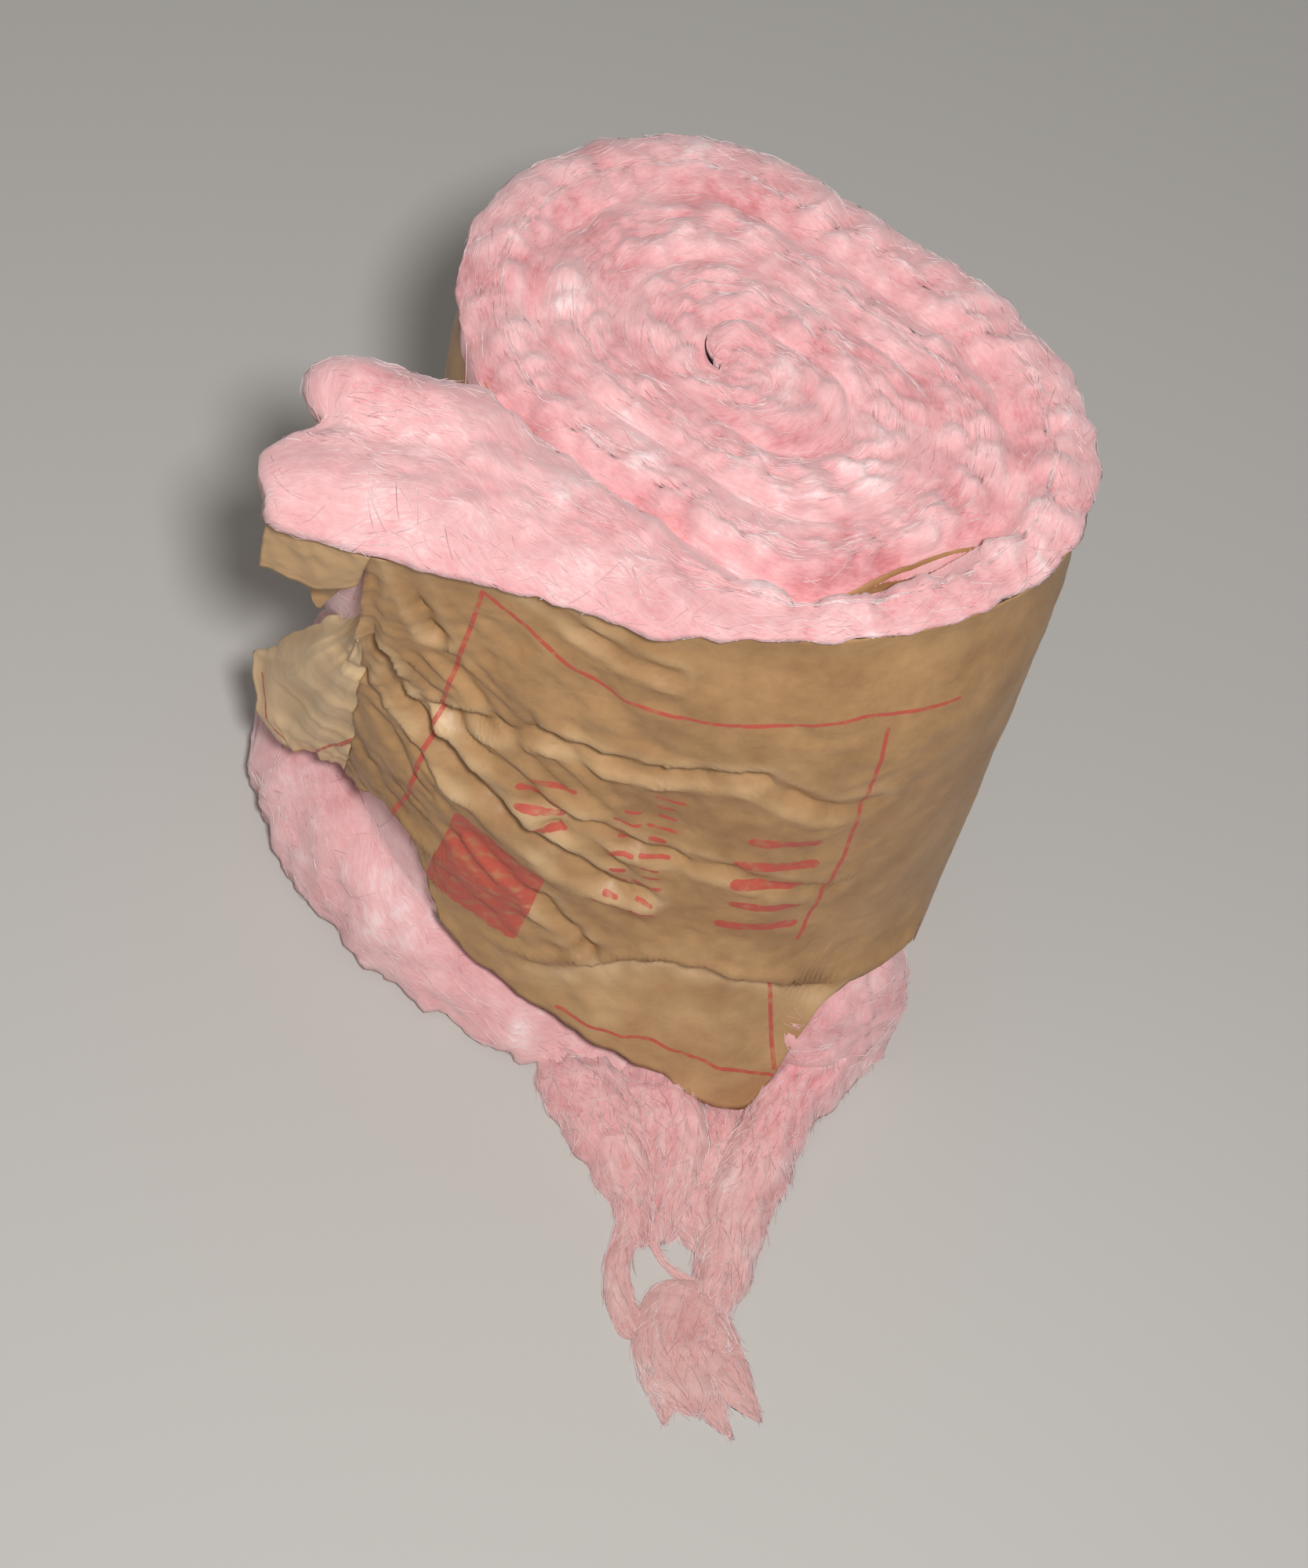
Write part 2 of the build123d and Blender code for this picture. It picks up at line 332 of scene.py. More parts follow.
# Each column of the loop: its share across the batt, its height, and how far it stands out of the face.
quarter = np.linspace(0, math.pi / 2, corner_steps)
top_start, top_end = inner_round / thickness, 1 - outer_round / thickness
columns = []
for angle in quarter[::-1]:
    drop = inner_depth * corner_drop(angle, inner_soft)
    columns.append((inner_round * (1 - math.sin(angle)) / thickness, height - drop, 0))
for step in range(1, top_steps):
    columns.append((top_start + (top_end - top_start) * step / top_steps, height, 0))
for angle in quarter:
    drop = outer_depth * corner_drop(angle, outer_soft)
    inset = outer_round * (1 - math.sin(angle)) / thickness
    columns.append((1 - inset, height - drop, overhang * math.sin(angle)))
knee = 7 / (wall_steps - 1)
wall_top = height - outer_depth
for step in range(1, wall_steps):
    part = step / (wall_steps - 1)
    if part < knee:
        level = wall_top + (wall_low - wall_top) * (part / knee) ** 1.4
        tuck = min(part / knee * 4, 1)
    else:
        level = wall_low * (1 - (part - knee) / (1 - knee))
        tuck = 1
    columns.append((1, np.maximum(level, 0.0), overhang + (-0.004 * shown_seam - overhang) * tuck))
for step in range(1, floor_steps + 1):
    columns.append((1 - step / (floor_steps + 1), 0, 0))
for step in range(back_steps):
    columns.append((0, (height - inner_depth) * step / back_steps, 0))
across, rise, reach = (np.stack([column[k] + 0 * phase for column in columns], 1) for k in range(3))
ring = across.shape[1]
wall_columns = slice(rim_columns, rim_columns + wall_steps - 1)
is_wall = np.zeros_like(across)
is_wall[:, wall_columns] = 1
on_top = np.zeros((1, ring))
on_top[:, :rim_columns] = 1

# Below the facing's hem the outer wall is free, and bulges out over the floor, most at the torn end.
skirt_reach = np.interp(
    past_leaving,
    [-0.62, -0.30, -0.17, -0.12, -0.06, -0.03, 0.0, 0.04, 0.09, 0.14, 0.19, 0.235],
    [0.000, 0.002, 0.002, 0.004, 0.000, 0.010, 0.034, 0.026, 0.022, 0.032, 0.054, 0.070],
)
drop = np.clip(1 - rise / np.maximum(hem, 0.004)[:, None], 0, 1)
bulge = np.sqrt(np.clip(1 - (1 - np.minimum(drop * 1.15, 1)) ** 2, 0, 1))
bulge = bulge * (1 - 0.25 * np.clip(drop * 8 - 7, 0, 1))
reach = reach + is_wall * bulge * skirt_reach[:, None]
tucked = shown_seam[:, None] * np.clip((rim[:, None] + 0.001 - rise) / 0.0015, 0, 1)
tucked = tucked * (across > 0.97) * (rise > hem[:, None])
reach = reach * (1 - tucked) - 0.0045 * tucked
reach = reach - leaning(lean[:, None], rise) * np.clip(across, 0, 1)

level = rise / height
thin = np.cos(torn)[:, None]
across = 0.5 + (across - 0.5) * thin
outer = np.where(on_coil[:, None, None], seam(phase)[:, None, :], free_face(share[:, None], level))
inner = np.where(on_coil[:, None, None], seam(phase - 2)[:, None, :], free_back(share[:, None], level))
out_way = outer - inner
out_way /= np.maximum(np.linalg.norm(out_way, axis=-1, keepdims=True), 1e-6)
plan = inner + (outer - inner) * across[..., None]
tangent = np.gradient(np.where(on_coil[:, None], seam(phase), free_face(share, 0.5)), axis=0)
face_way = np.stack([tangent[:, 1], -tangent[:, 0]], -1)
face_way[count_coil + count_free:] = face_way[count_coil + count_free - 1]
face_way /= np.linalg.norm(face_way, axis=1)[:, None]
face_way *= np.sign((face_way * out_way[:, ring // 3]).sum(1))[:, None]
plan = plan + face_way[:, None, :] * (reach * thin)[..., None]
end_way = free_face(1.0, level[-1]) - free_face(0.97, level[-1])
end_way /= np.linalg.norm(end_way, axis=-1)[..., None]


def slack_bump(seam_phase):
    """Share of the slack gap's width at a phase of the seam: a sine arch at the right front."""
    return np.sin(math.pi * np.clip((seam_phase - 5.34) / 0.25, 0, 1)) ** 0.8


def gap_depth(rise):
    """Share of the slack gap's width at a height: none 50 mm below the head, all of it 15 mm below."""
    return np.clip((rise - (height - 0.050)) / 0.035, 0, 1)


slack_width = 0.015
shift = 0.005 * slack_bump(phase - 2)[:, None] * (1 - np.clip(across, 0, 1))
shift = shift + slack_width * slack_bump(phase)[:, None] * np.clip(across, 0, 1)
plan = plan - out_way * (shift * gap_depth(rise))[..., None]
# The torn end: at the head a lobe at the back and a longer one in front. Lower down it slopes out to the
# floor.
head_profile = np.interp(
    across,
    [0, 0.1, 0.22, 0.34, 0.40, 0.46, 0.55, 0.65, 0.75, 0.88, 1],
    [0.004, 0.014, 0.019, 0.016, 0.011, 0.013, 0.023, 0.031, 0.028, 0.021, 0.016],
)
foot_profile = np.interp(across, [0, 0.15, 0.5, 0.8, 0.92, 1], [0.35, 0.75, 1, 1, 0.85, 0.45])
foot_reach = np.interp(
    rise,
    [0, 0.04, 0.06, 0.09, 0.12, 0.16, 0.20, 0.25, 0.30],
    [0.050, 0.064, 0.068, 0.066, 0.060, 0.048, 0.034, 0.015, 0.004],
)
head_share = np.clip((rise - 0.29) / 0.07, 0, 1)
end_profile = head_profile * head_share + foot_profile * foot_reach * (1 - head_share)
end_profile = end_profile * (1 + 0.12 * noise_at(across / 0.22, level / 0.12, 0, 13, 2))
sine = np.sin(torn)[:, None]
fullest = np.maximum(2 * np.sqrt(np.clip(across * (1 - across), 0, 1)), sine)
plan = plan + end_way[None] * (end_profile * sine / np.maximum(fullest, 1e-6))[..., None]
skin = np.dstack([plan, rise])

# The relief: soft billows with clumps drawn out along the turns on the cut edge and short flecks over them,
# and lumps on the skirt and the torn end.
loop_steps = np.cumsum(np.linalg.norm(np.diff(skin, axis=1), axis=2), axis=1)
loop_length = np.concatenate([np.zeros((stations, 1)), loop_steps], 1)
along = np.repeat(run[:, None], ring, 1)
swirl = 0.9 * layered_noise(skin / 0.030, 27, 2)
clumps = np.abs(noise_at(along / 0.025 + swirl, loop_length / 0.016 + swirl, 0, 11, 2, 0.4))
billows = np.abs(layered_noise(skin * (1, 1, 0.4) / 0.026, 29, 3, 0.5))
clumps = 0.2 * clumps + 0.8 * billows
flecks = noise_at(along / 0.0085, loop_length / 0.0036, 7, 19, 2)
warp = noise_at(along / 0.070, loop_length / 0.040, 3, 23, 2)
lumps = layered_noise(skin / 0.022, 31, 3)
edge_width = 0.008
edge = np.minimum(
    across * thickness[:, None] / edge_width + 1 - inner_soft[:, None],
    (1 - across) * thickness[:, None] / edge_width + shown_seam[:, None],
)
free_top = np.clip(edge, 0, 1) * on_top
calm = np.clip(share * 3, 0, 1)[:, None]
skirt_shown = is_wall * np.clip(drop * 6, 0, 1)
end_shown = np.clip((share - 0.35) / 0.2, 0, 1)[:, None] * (1 - is_wall) * (1 - on_top)
end_shown = np.maximum(end_shown, np.clip(torn * 3, 0, 1)[:, None] * (1 - free_top))
relief = (1 - 0.5 * calm) * 0.0085 * (clumps - 0.2) + (1 - 0.4 * calm) * 0.0005 * flecks + 0.0016 * warp
relief = relief * free_top
relief = relief + skirt_shown * (0.0040 * lumps + 0.0030 * (clumps - 0.25) + 0.0006 * flecks)
relief = relief + end_shown * (0.0030 * lumps + 0.0006 * flecks)
# Along the free end the top swells to a crest, which parts into two lobes near the torn end.
end_near = np.clip((share - 0.7) / 0.25, 0, 1)[:, None]
crest = 0.006 * np.sin(math.pi * np.clip(across, 0, 1)) ** 0.8
for lobe_height, lobe_middle, lobe_width in ((0.009, 0.22, 0.13), (0.005, 0.76, 0.11), (-0.003, 0.46, 0.09)):
    crest = crest + lobe_height * np.exp(-(((across - lobe_middle) / lobe_width) ** 2)) * end_near
relief = relief + np.interp(share, [0, 0.2, 0.6, 1], [0, 0.3, 0.9, 1])[:, None] * on_top * crest
lip = np.clip((1 - across) * thickness[:, None] / 0.012, 0.3, 1)
relief = relief * np.cos(torn)[:, None] ** 0.7 * (1 - tucked)
relief = relief * np.where(shown_seam[:, None] * on_top > 0.5, lip, 1)
dimple = np.linalg.norm(skin[..., :2] - seam(0.05), axis=2)
relief = relief - 0.003 * np.exp(-((dimple / 0.009) ** 2)) * on_top


def outward_normals(points):
    """Unit normals of a grid of points whose rows are closed loops: the cross product of the way from row to
    row and the way round each row."""
    along_way = np.gradient(points, axis=0)
    round_way = np.roll(points, -1, 1) - np.roll(points, 1, 1)
    normals = np.cross(along_way, round_way)
    return normals / np.maximum(np.linalg.norm(normals, axis=2, keepdims=True), 1e-9)


skin = skin + outward_normals(skin) * relief[..., None]
skin[..., 2] = np.maximum(skin[..., 2], 0.0)
# Painted shade mask: it darkens the wool's colour in the hollows of the relief, and more near the seams
# between turns.
hollow_shade = np.clip(0.75 - 1.5 * clumps - 0.15 * flecks - 0.15 * lumps, 0, 1) * (1 - 0.5 * calm)
near_seam = np.clip(1 - edge / 1.6, 0, 1) * on_top
hollow_shade = np.clip(hollow_shade + 0.2 * near_seam, 0, 1)


def loop_faces(rows, columns):
    """Quads of a tube whose rows are closed loops of so many columns."""
    column = np.arange(columns)[None]
    first = np.arange(rows - 1)[:, None] * columns + column
    second = np.arange(rows - 1)[:, None] * columns + (column + 1) % columns
    return np.stack([first, first + columns, second + columns, second], -1).reshape(-1, 4)


def end_loops(rows, columns, first=0):
    """Loops of point numbers that close a tube's first and last row, each facing out of its end."""
    last = first + (rows - 1) * columns
    return [list(range(first, first + columns)), list(range(last, last + columns))[::-1]]


def skin_object(name, points, faces, caps=(), layout=None, masks=()):
    """Mesh object from an array of points and quads, with fan caps given as loops of point numbers, the
    points' places on a flat layout in metres, and named masks of one value for each point."""
    flat = points.reshape(-1, 3)
    middles = np.array([flat[loop].mean(0) for loop in caps]).reshape(-1, 3)
    corners = faces.tolist()
    for number, loop in enumerate(caps):
        centre = len(flat) + number
        corners += [(loop[k], loop[(k + 1) % len(loop)], centre) for k in range(len(loop))]
    mesh = bpy.data.meshes.new(name)
    mesh.from_pydata(np.concatenate([flat, middles]).tolist(), [], corners)
    mesh.shade_smooth()
    if layout is not None:
        spread = layout.reshape(-1, 2)
        spread = np.concatenate([spread] + [spread[loop].mean(0)[None] for loop in caps])
        corner_points = np.zeros(len(mesh.loops), int)
        mesh.loops.foreach_get("vertex_index", corner_points)
        mesh.uv_layers.new(name="layout").data.foreach_set("uv", spread[corner_points].ravel())
    for mask_name, values in masks:
        kept = np.concatenate([values.ravel(), np.full(len(caps), values.mean())])
        mesh.attributes.new(mask_name, "FLOAT", "POINT").data.foreach_set("value", kept)
    mesh.update()
    made = bpy.data.objects.new(name, mesh)
    bpy.context.scene.collection.objects.link(made)
    return made


wool = skin_object(
    "wool_batt", skin, loop_faces(stations, ring), end_loops(stations, ring),
    np.dstack([along, loop_length]), [("hollow_shade", hollow_shade)],
)

# Glass wool: pink binder with whitish strands that lie along the batt, with painted shade that deepens the
# pink in the hollows.
wool_fleece, tree, shader = new_finish("pink_wool", [
    ("Roughness", 0.95),
    ("Specular IOR Level", 0.2),
    ("Sheen Weight", 0.35),
    ("Sheen Roughness", 0.6),
    ("Subsurface Weight", 0.12),
    ("Subsurface Radius", (0.006, 0.003, 0.003)),
])
spread = add_node(tree, "UVMap", uv_map="layout").outputs["UV"]
place = add_node(tree, "TexCoord").outputs["Object"]
strand_noises = []
for scale, detail in (((85, 170, 1), 5), ((260, 620, 1), 3)):
    stretched = add_node(tree, "Mapping", [("Vector", spread), ("Scale", scale)]).outputs[0]
    inputs = [("Vector", stretched), ("Scale", 1), ("Detail", detail), ("Roughness", 0.62)]
    strand_noises.append(add_node(tree, "TexNoise", inputs).outputs["Fac"])
blotch = add_node(tree, "TexNoise", [("Vector", place), ("Scale", 26), ("Detail", 4)]).outputs["Fac"]
# Painted shade for the hollows, read from the mask on the mesh.
hollow_shade_factor = add_node(tree, "Attribute", attribute_name="hollow_shade").outputs["Fac"]


def weighed_sum(tree, terms, offset=0.0):
    """Output that adds an offset and a row of outputs, each times its weight."""
    total = offset
    for output, weight in terms:
        inputs = [(0, output), (1, weight), (2, total)]
        total = add_node(tree, "Math", inputs, operation="MULTIPLY_ADD").outputs[0]
    return total


def ramp(tree, factor, stops):
    """Colour from a ramp over a factor, with its stops given as pairs of place and colour."""
    made = add_node(tree, "ValToRGB", [("Fac", factor)])
    for stop_place, shade in stops:
        made.color_ramp.elements.new(stop_place).color = (*shade, 1)
    made.color_ramp.elements.remove(made.color_ramp.elements[0])
    made.color_ramp.elements.remove(made.color_ramp.elements[-1])
    return made.outputs["Color"]


def blend(tree, factor, under, over):
    """Colour that goes from one colour to another by a factor; each is an output or a plain colour."""
    return add_node(tree, "Mix", [(0, factor), (6, under), (7, over)], data_type="RGBA").outputs[2]


def bumped(tree, heights):
    """Normal raised by up to 2 mm by a weighed row of outputs."""
    inputs = [("Strength", 0.5), ("Distance", 0.0020), ("Height", weighed_sum(tree, heights))]
    return add_node(tree, "Bump", inputs).outputs["Normal"]


# The tone: random streaks and blotches, lowered by the painted shade in the hollows.
tone = weighed_sum(
    tree, [(strand_noises[0], 0.50), (strand_noises[1], 0.45), (blotch, 0.9), (hollow_shade_factor, -0.30)], -0.28
)
fleece_colour = ramp(tree, tone, [
    (0.16, (0.61, 0.20, 0.21)),
    (0.42, (0.77, 0.37, 0.38)),
    (0.68, (0.86, 0.50, 0.50)),
    (0.92, (0.93, 0.76, 0.75)),
])
# Dust from the floor greys the wool that lies on it, most towards the tail's tip.
axes = add_node(tree, "SeparateXYZ", [("Vector", place)])
forward = add_node(tree, "MapRange", [("Value", axes.outputs["Y"]), ("From Min", -0.15), ("From Max", -0.31)])
low = add_node(tree, "MapRange", [("Value", axes.outputs["Z"]), ("From Min", 0.05), ("From Max", 0.0)])
soiled = weighed_sum(
    tree, [(forward.outputs["Result"], 0.45), (low.outputs["Result"], 0.14), (blotch, 0.3)], -0.18
)
fleece_colour = blend(tree, soiled, fleece_colour, (0.55, 0.37, 0.31, 1))
tree.links.new(fleece_colour, shader.inputs["Base Color"])
tree.links.new(bumped(tree, [(strand_noises[0], 0.5), (strand_noises[1], 0.35)]), shader.inputs["Normal"])
wool.data.materials.append(wool_fleece)
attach(wool, "root")
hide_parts("wool_blanket")


def lay_fibres(surface, starts, spans, lifts, widths):
    """Points and faces of closed three-sided strands over a grid of closed loops. Each runs from its start
    over its span of rows and columns, and its height bends from its first lift over the middle one to the
    last."""
    rows, columns = surface.shape[:2]
    normals = outward_normals(surface)
    share = np.linspace(0, 1, 5)
    row = np.clip(starts[:, :1] + spans[:, :1] * share, 0, rows - 1.001)
    column = starts[:, 1:] + spans[:, 1:] * share
    low_row, low_column = np.floor(row).astype(int), np.floor(column).astype(int)
    row_part, column_part = (row - low_row)[..., None], (column - low_column)[..., None]
    place, way = 0, 0
    for step_row, weight_row in ((0, 1 - row_part), (1, row_part)):
        for step_column, weight_column in ((0, 1 - column_part), (1, column_part)):
            index = (low_row + step_row, (low_column + step_column) % columns)
            place = place + weight_row * weight_column * surface[index]
            way = way + weight_row * weight_column * normals[index]
    way /= np.maximum(np.linalg.norm(way, axis=2, keepdims=True), 1e-9)
    rise = lifts[:, :1] * (1 - share) * (1 - 2 * share)
    rise = rise + lifts[:, 1:2] * 4 * share * (1 - share) + lifts[:, 2:] * share * (2 * share - 1)
    line = place + way * rise[..., None]
    line[..., 2] = np.maximum(line[..., 2], 0.0004)
    ahead = np.gradient(line, axis=1)
    ahead /= np.maximum(np.linalg.norm(ahead, axis=2, keepdims=True), 1e-9)
    aside = np.cross(ahead, way)
    aside /= np.maximum(np.linalg.norm(aside, axis=2, keepdims=True), 1e-9)
    above = np.cross(aside, ahead)
    angles = np.radians([90, 210, 330])[None, None, :, None]
    spokes = aside[:, 1:4, None, :] * np.cos(angles) + above[:, 1:4, None, :] * np.sin(angles)
    rings = line[:, 1:4, None, :] + widths[:, None, None, None] * spokes
    count = len(line)
    points = np.concatenate([line[:, :1], rings.reshape(count, 9, 3), line[:, 4:]], 1).reshape(-1, 3)
    sides = []
    for corner in range(3):
        following = (corner + 1) % 3
        sides.append((0, 1 + corner, 1 + following, 1 + following))
        for band in (1, 4):
            sides.append((band + corner, band + 3 + corner, band + 3 + following, band + following))
        sides.append((10, 7 + following, 7 + corner, 7 + corner))
    faces = (np.arange(count)[:, None, None] * 11 + np.array(sides)[None]).reshape(-1, 4)
    return points, faces


def strand_object(name, batches, finish):
    """Mesh object of several batches of strands."""
    points, corners, first = [], [], 0
    for batch_points, batch_faces in batches:
        points.append(batch_points)
        corners += [face[:3] if face[2] == face[3] else face for face in (batch_faces + first).tolist()]
        first += len(batch_points)
    mesh = bpy.data.meshes.new(name)
    mesh.from_pydata(np.concatenate(points).tolist(), [], corners)
    mesh.shade_smooth()
    mesh.materials.append(finish)
    made = bpy.data.objects.new(name, mesh)
    bpy.context.scene.collection.objects.link(made)
    return made


# Loose strands on the batt: single fibres of whitish glass, each a thin closed tube with three sides. Most
# lie along the turns on the cut edge, and some stand off the rim, the skirt and the torn end.
pale_strand, tree, shader = new_finish("pale_strands", [("Roughness", 0.8), ("Sheen Weight", 0.2)])
place = add_node(tree, "TexCoord").outputs["Object"]
blotch = add_node(tree, "TexNoise", [("Vector", place), ("Scale", 90)]).outputs["Fac"]
strand_colour = ramp(tree, blotch, [(0.35, (0.74, 0.44, 0.44)), (0.62, (0.88, 0.72, 0.71))])
tree.links.new(strand_colour, shader.inputs["Base Color"])

draw = np.random.default_rng(2024)
notch_row = np.searchsorted(phase, notch_phase)
skirt_row = np.searchsorted(past_leaving, -0.25)
# Each region: number of strands, its rows and columns of the skin, and the share that stands off.
strand_regions = [
    (2100, (2, stations - 20), (1, rim_columns - 2), 0.03),
    (700, (notch_row, stations - 16), (rim_columns - 9, rim_columns + 1), 0.35),
    (250, (stations - 34, stations - 12), (0, ring), 0.5),
    (450, (skirt_row, stations - 12), (rim_columns + 7, rim_columns + wall_steps - 4), 0.25),
]
starts = np.concatenate([
    np.stack([draw.uniform(*rows, number), draw.uniform(*columns, number)], 1)
    for number, rows, columns, loose in strand_regions
])
fibre_count = len(starts)
lengths = draw.uniform(0.007, 0.024, fibre_count) / station_step
slant = draw.normal(0, 0.35, fibre_count)
spans = np.stack([lengths * draw.choice([-1, 1], fibre_count), lengths * slant], 1)
loose_share = np.concatenate([np.full(number, loose) for number, rows, columns, loose in strand_regions])
raised = draw.uniform(0, 1, fibre_count) < loose_share
middle_lift = draw.uniform(0.0001, 0.0006, fibre_count)
raised_lift, laid_lift = draw.uniform(0.0006, 0.0024, fibre_count), draw.uniform(-0.0012, 0.0003, fibre_count)
root_lift = np.full(fibre_count, -0.0004)
lifts = np.stack([root_lift, middle_lift, np.where(raised, raised_lift, laid_lift)], 1)
batch = lay_fibres(skin, starts, spans, lifts, draw.uniform(0.00010, 0.00026, fibre_count))
strands = strand_object("wool_strands", [batch], pale_strand)
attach(strands, "root")

# The kraft facing: one sheet of brown paper glued to the outer side of the blanket, from the notch round to
# the torn end. It is creased and puffed where it was gripped, folds out over its hem and has torn edges.
sheet_top = 0.376
paper_thickness = 0.0006
seam_phase = np.linspace(notch_phase, leaving_phase, 3000)
seam_steps = np.linalg.norm(np.diff(seam(seam_phase), axis=0), axis=1)
seam_run = np.concatenate([[0], np.cumsum(seam_steps)]) - seam_steps.sum()


def facing_point(run, level):
    """Point of the blanket's outer face, by the way along it from where it leaves the coil, and the level."""
    run, level = np.broadcast_arrays(np.asarray(run, float), np.asarray(level, float))
    coil = seam(np.interp(run, seam_run, seam_phase))
    return np.where((run <= 0)[..., None], coil, free_face(np.maximum(run, 0) / free_length, level))


def line_distance(run, rise, points):
    """Distance from points of the sheet to a broken line on it, all in metres."""
    nearest = np.full(run.shape, 1.0)
    for (x0, z0), (x1, z1) in zip(points[:-1], points[1:]):
        dx, dz = x1 - x0, z1 - z0
        share = np.clip(((run - x0) * dx + (rise - z0) * dz) / (dx * dx + dz * dz), 0, 1)
        nearest = np.minimum(nearest, np.hypot(run - x0 - dx * share, rise - z0 - dz * share))
    return nearest


# Creases in millimetres along the sheet and up it: depth (a negative one is a ridge), width, and line.
creases = [
    (4.0, 7, [(112, 376), (80, 356), (63, 350), (39, 346)]),
    (-2.5, 9, [(127, 376), (110, 374), (86, 366), (75, 362)]),
    (3.0, 7, [(178, 348), (169, 304), (167, 246)]),
    (3.0, 8, [(167, 370), (153, 340), (141, 322)]),
    (5.5, 11, [(165, 286), (149, 254), (127, 236), (100, 208), (80, 196), (57, 178), (29, 168)]),
    (3.0, 8, [(122, 256), (96, 240), (82, 226), (61, 218), (39, 210)]),
    (4.5, 10, [(133, 258), (110, 268), (86, 278), (61, 276), (33, 274), (10, 280), (-8, 284)]),
    (3.5, 10, [(-8, 284), (-28, 270), (-48, 260), (-66, 262)]),
    (3.0, 8, [(69, 140), (59, 124), (45, 106)]),
    (1.8, 10, [(63, 92), (41, 110), (12, 112), (-16, 124)]),
    (3.5, 9, [(69, 210), (55, 218), (41, 210), (12, 204), (-10, 206), (-32, 196), (-60, 186)]),
    (3.0, 8, [(65, 176), (51, 168), (31, 168)]),
]
# The hem, the fold above it and how far the foot flares out, by the way along the sheet.
hem_run = np.array([
    -0.7103, -0.40, -0.300, -0.175, -0.165, -0.155, -0.130, -0.122, -0.102, -0.086, -0.076, -0.067, -0.057,
    -0.046, -0.030, -0.010, 0.012, 0.034, 0.065, 0.084, 0.104, 0.124, 0.153, 0.175, 0.202,
])
hem_rise = np.array([
    0.008, 0.008, 0.020, 0.042, 0.020, 0.068, 0.092, 0.090, 0.090, 0.092, 0.086, 0.062, 0.024,
    0.004, 0.008, 0.022, 0.032, 0.042, 0.046, 0.056, 0.076, 0.108, 0.136, 0.118, 0.100,
])
fold_run = [-0.150, -0.130, -0.122, -0.082, -0.048, -0.012, 0.022, 0.055, 0.080]
fold_rise = [0.096, 0.095, 0.093, 0.098, 0.108, 0.122, 0.114, 0.094, 0.080]
flare_run = [-0.150, -0.110, -0.076, -0.056, -0.045, -0.030, -0.010, 0.034, 0.055, 0.084]
flare_reach = [0.004, 0.008, 0.008, 0.017, 0.023, 0.022, 0.017, 0.014, 0.008, 0.002]
sheet_rows = 134
sheet_run = np.concatenate([
    np.arange(-0.7103, -0.45, 0.007), np.arange(-0.45, -0.0005, 0.0027), np.linspace(0, free_length, 71)
])
raggedness = noise_at(sheet_run / 0.012, 0, 0, 41)
torn_depth = np.where(sheet_run > -0.07, 0.0025, 0.0015)
low_edge = (np.interp(sheet_run, hem_run, hem_rise) + torn_depth * (raggedness + 1))[:, None]
high_edge = np.interp(
    sheet_run,
    [-0.20, -0.15, 0.12, 0.17, 0.202],
    [0.369, sheet_top, sheet_top, sheet_top - 0.005, sheet_top - 0.008],
)
high_edge = (high_edge + 0.0008 * raggedness)[:, None]
sheet_rise = low_edge + (high_edge - low_edge) * np.linspace(0, 1, sheet_rows)[None, :]
left_edge = np.interp(
    sheet_rise[-1:], [0.10, 0.148, 0.180, 0.238, 0.304, 0.376], [0.168, 0.162, 0.165, 0.168, 0.176, 0.184]
)
sheet_along = np.repeat(sheet_run[:, None], sheet_rows, 1)
shrink = np.clip((sheet_along - 0.10) / (free_length - 0.10), 0, 1)
sheet_along = sheet_along + shrink * (left_edge - free_length)


def sheet_noise(along_size, rise_size, slice_place, seed, octaves=2):
    """Layered noise over the sheet, with lumps of a size along it and up it."""
    return noise_at(sheet_along / along_size, sheet_rise / rise_size, slice_place, seed, octaves)


# The sheet's puffs stand out of the wool's face, and gathers run down from its torn end. Each crease is a
# cusp between two soft ridges. A painted highlight lightens the ridges and the band below the fold.
puff = 0.0015 + 0.0030 * (sheet_noise(0.075, 0.075, 0, 52) + 0.3)
painted_highlight = 0 * puff
fading = np.clip(0.9 + 0.9 * sheet_noise(0.028, 0.028, 2, 55), 0.15, 1.6)
for depth, width, points in creases:
    gap = line_distance(sheet_along, sheet_rise, np.array(points) / 1000) * 1000 / width
    painted_highlight = painted_highlight + 0.13 * abs(depth) * fading * np.exp(-(((gap - 1.0) / 0.40) ** 2))
    cusp = 1.7 * np.exp(-1.7 * gap) - 0.8 * np.exp(-2.2 * np.abs(gap - 1.1))
    puff = puff - depth / 1000 * fading * cusp
crumple = 1 - np.abs(sheet_noise(0.030, 0.022, 5, 61, 3))
across_gathers, down_gathers = 0.71 * sheet_along - 0.7 * sheet_rise, 0.7 * sheet_along + 0.71 * sheet_rise
gathers = 1 - 2 * np.abs(noise_at(across_gathers / 0.016, down_gathers / 0.075, 9, 63, 2, 0.45))
gathered = np.interp(sheet_along, [0.0, 0.06, 0.12], [0.2, 0.7, 1.0])
gathered = gathered * np.interp(sheet_rise, [0.10, 0.15, 0.30, 0.355], [0.4, 1, 1, 0.05])
puff = puff + 0.0036 * gathers * gathered
wrinkled = np.interp(sheet_along, [-0.30, -0.12, -0.04, 0.05], [0.15, 0.3, 0.7, 1.0])
puff = (puff + 0.0022 * crumple) * wrinkled * np.interp(sheet_rise, [0.34, 0.365], [1, 0.15])
puff = puff + 0.0012 + 0.0016 * wrinkled
fold_line = np.interp(sheet_along, fold_run, fold_rise)
fold_share = np.interp(sheet_along, [-0.150, -0.125, 0.045, 0.080], [0, 1, 1, 0])
below = fold_line - sheet_rise
flare = np.interp(sheet_along, flare_run, flare_reach)
drop_share = np.clip(below / np.maximum(fold_line - low_edge, 0.01), 0, 1)
